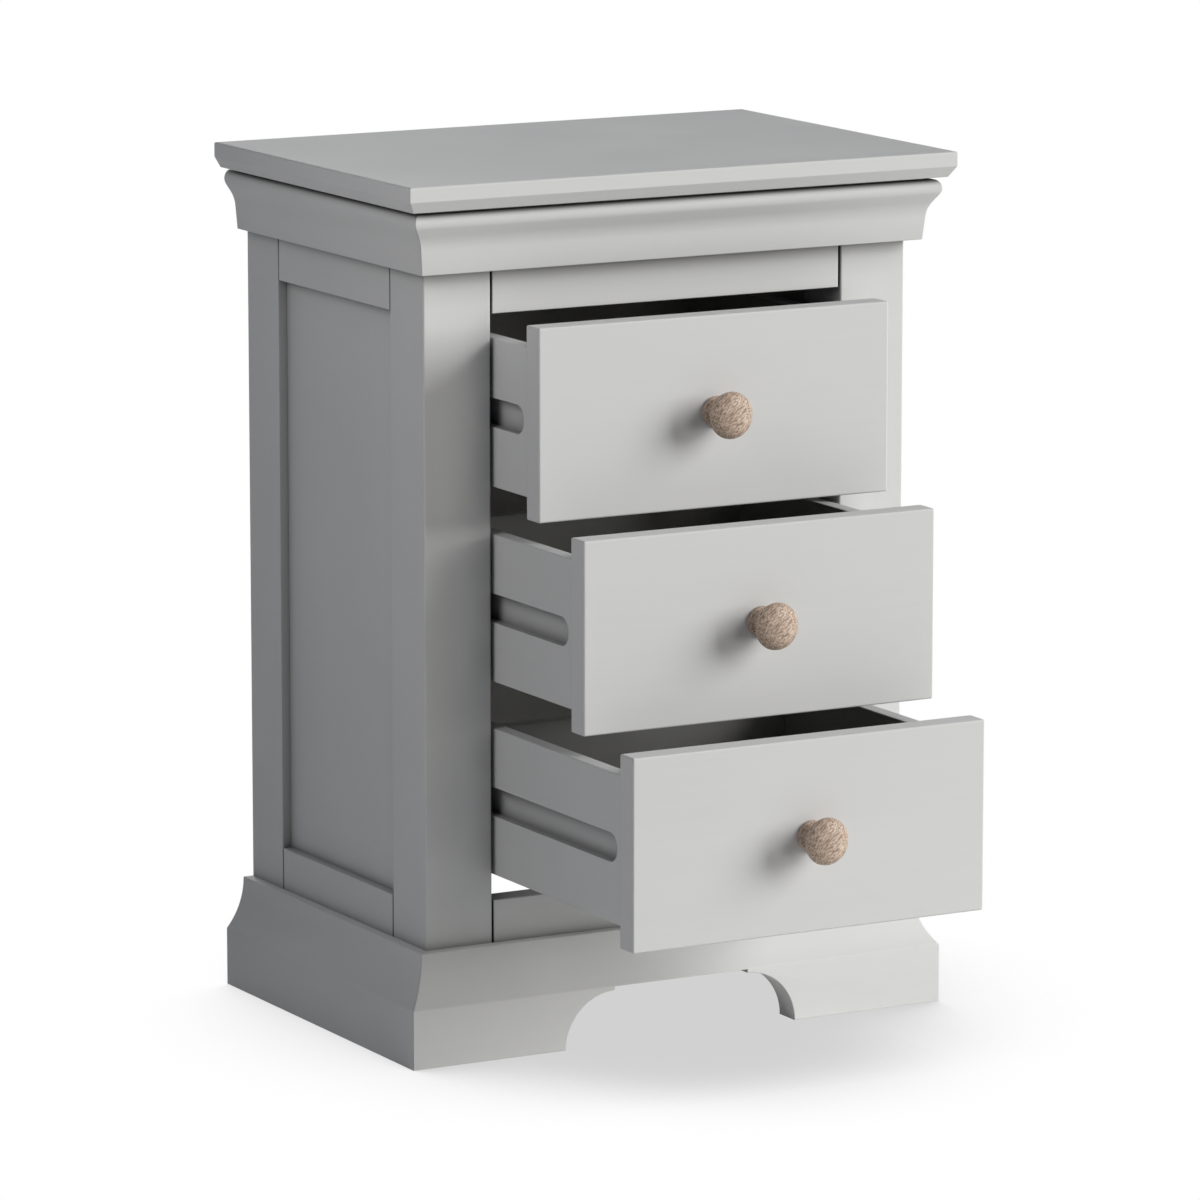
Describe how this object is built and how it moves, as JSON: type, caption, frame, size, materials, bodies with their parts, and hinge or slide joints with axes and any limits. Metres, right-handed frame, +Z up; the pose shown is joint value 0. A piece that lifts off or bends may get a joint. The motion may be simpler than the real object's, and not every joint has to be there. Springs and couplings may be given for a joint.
{
  "type": "nightstand",
  "caption": "Painted bedside cabinet with inset drawers on wooden side runners, turned oak knobs, an ogee cornice under the top and an arched plinth.",
  "frame": {"origin": "on the floor, in the middle of the rectangle that the plinth covers, with the drawers left out of account", "axes": "+X to the right of a person facing the front, +Y back towards the wall, +Z up"},
  "size_m": [0.5, 0.579, 0.71],
  "materials": {
    "painted_wood": "satin light grey paint",
    "oak": "pale oiled oak",
    "bare_hardwood": "planed, unpainted",
    "screw_steel": "zinc plated"
  },
  "bodies": {
    "carcass": {"top_board": "painted_wood", "cornice_front": "painted_wood", "cornice_left": "painted_wood", "cornice_right": "painted_wood", "plinth_front": "painted_wood", "plinth_left": "painted_wood", "plinth_right": "painted_wood", "front_left_post": "painted_wood", "front_right_post": "painted_wood", "rear_left_post": "painted_wood", "rear_right_post": "painted_wood", "front_top_rail": "painted_wood", "front_bottom_rail": "painted_wood", "back_top_rail": "painted_wood", "back_bottom_rail": "painted_wood", "left_side_top_rail": "painted_wood", "left_side_bottom_rail": "painted_wood", "right_side_top_rail": "painted_wood", "right_side_bottom_rail": "painted_wood", "left_side_panel": "painted_wood", "right_side_panel": "painted_wood", "back_panel": "painted_wood", "back_panel_screws": "screw_steel", "top_drawer_left_runner": "bare_hardwood", "top_drawer_right_runner": "bare_hardwood", "middle_drawer_left_runner": "bare_hardwood", "middle_drawer_right_runner": "bare_hardwood", "bottom_drawer_left_runner": "bare_hardwood", "bottom_drawer_right_runner": "bare_hardwood", "runner_screws": "screw_steel", "top_fixing_blocks": "bare_hardwood", "top_fixing_screws": "screw_steel"},
    "top_drawer": {"top_drawer_front": "painted_wood", "top_drawer_left_side": "painted_wood", "top_drawer_right_side": "painted_wood", "top_drawer_back": "painted_wood", "top_drawer_bottom": "painted_wood", "top_drawer_dowels": "bare_hardwood", "top_drawer_knob": "oak", "top_drawer_knob_screw": "screw_steel"},
    "middle_drawer": {"middle_drawer_front": "painted_wood", "middle_drawer_left_side": "painted_wood", "middle_drawer_right_side": "painted_wood", "middle_drawer_back": "painted_wood", "middle_drawer_bottom": "painted_wood", "middle_drawer_dowels": "bare_hardwood", "middle_drawer_knob": "oak", "middle_drawer_knob_screw": "screw_steel"},
    "bottom_drawer": {"bottom_drawer_front": "painted_wood", "bottom_drawer_left_side": "painted_wood", "bottom_drawer_right_side": "painted_wood", "bottom_drawer_back": "painted_wood", "bottom_drawer_bottom": "painted_wood", "bottom_drawer_dowels": "bare_hardwood", "bottom_drawer_knob": "oak", "bottom_drawer_knob_screw": "screw_steel"}
  },
  "joints": [
    {"name": "top_drawer_slide", "type": "slide", "parent": "carcass", "child": "top_drawer", "axis": [0, -1, 0], "range_m": [-0.078, 0.157]},
    {"name": "middle_drawer_slide", "type": "slide", "parent": "carcass", "child": "middle_drawer", "axis": [0, -1, 0], "range_m": [-0.151, 0.084]},
    {"name": "bottom_drawer_slide", "type": "slide", "parent": "carcass", "child": "bottom_drawer", "axis": [0, -1, 0], "range_m": [-0.23, 0.005]}
  ]
}
